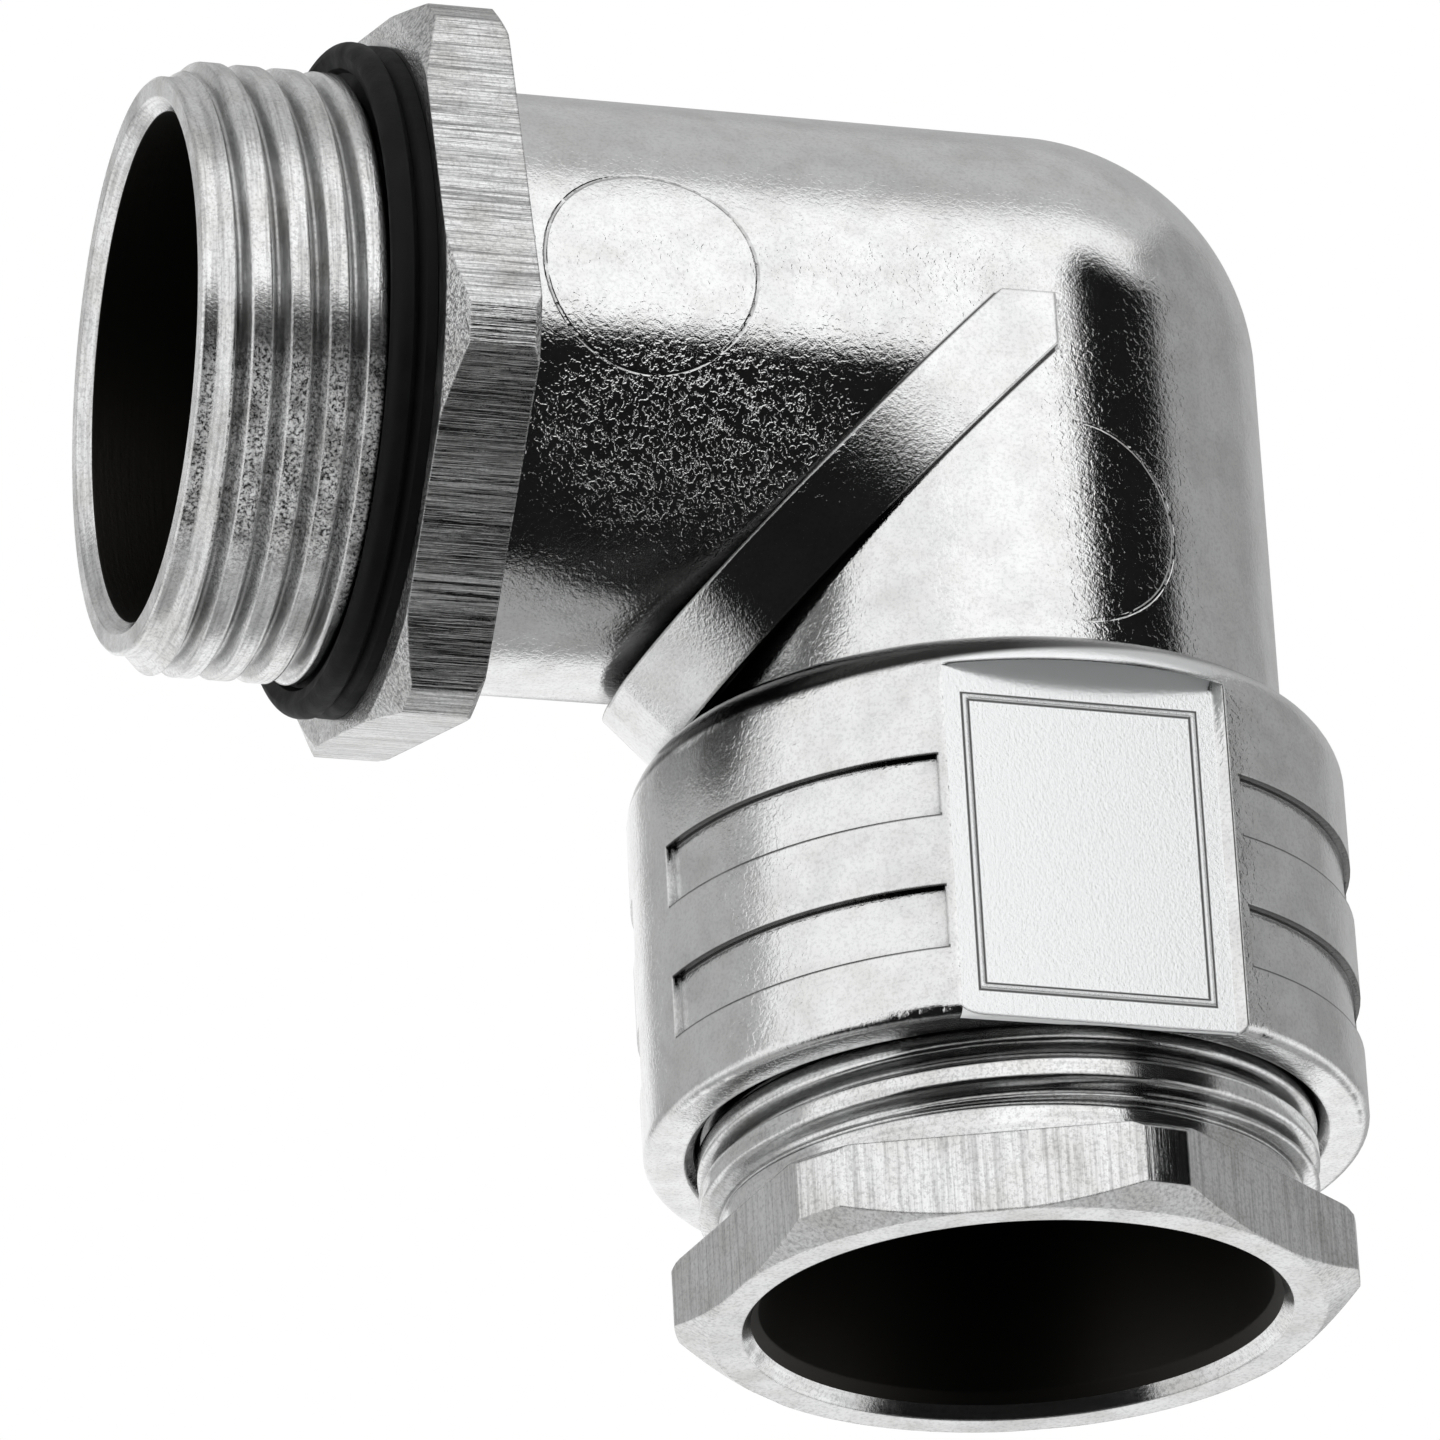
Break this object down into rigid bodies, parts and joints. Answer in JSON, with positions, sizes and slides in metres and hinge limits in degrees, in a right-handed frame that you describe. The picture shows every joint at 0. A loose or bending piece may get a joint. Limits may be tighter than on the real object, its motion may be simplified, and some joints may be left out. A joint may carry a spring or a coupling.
{
  "type": "angled cable gland",
  "caption": "Right-angle metal cable gland with a swivelling threaded nipple, grooved collar and hexagonal pressure screw.",
  "frame": {"origin": "on the connection thread's axis, where the thread meets the plane of a panel's face, just in front of the connection seal", "axes": "+X along the connection thread's axis from the thread towards the elbow; the gland arm and its pressure screw point along -Z; the collar's flat pad faces -Y"},
  "size_m": [0.0446, 0.0284, 0.05],
  "materials": {
    "turned_nickel": "turned brass with bright nickel plate",
    "cast_nickel": "cast metal with bright nickel plate",
    "spring_wire": "drawn spring wire",
    "washer_steel": "punched and zinc plated",
    "seal_rubber": "moulded black rubber"
  },
  "bodies": {
    "connection": {"connection_nipple": "turned_nickel", "connection_seal": "seal_rubber", "swivel_seal": "seal_rubber", "retaining_ring": "spring_wire"},
    "elbow": {"elbow_body": "cast_nickel", "inner_thrust_washer": "washer_steel", "sealing_insert": "seal_rubber"},
    "thrust": {"outer_thrust_washer": "washer_steel"},
    "screw": {"pressure_screw": "turned_nickel"}
  },
  "joints": [
    {"name": "swivel", "type": "hinge", "parent": "connection", "child": "elbow", "pos_m": [0.0145, 0, 0], "axis": [1, 0, 0], "continuous": true},
    {"name": "screw_feed", "type": "slide", "parent": "elbow", "child": "thrust", "axis": [0, 0, 1], "range_m": [-0.004, 0.003], "deforming": ["sealing_insert"]},
    {"name": "screw_turn", "type": "hinge", "parent": "thrust", "child": "screw", "pos_m": [0.02515, 0, -0.0296], "axis": [0, 0, 1], "range_deg": [-1030, 770]}
  ],
  "couplings": [
    {"joint": "screw_turn", "follows": "screw_feed", "rad_per_m": 4453}
  ]
}
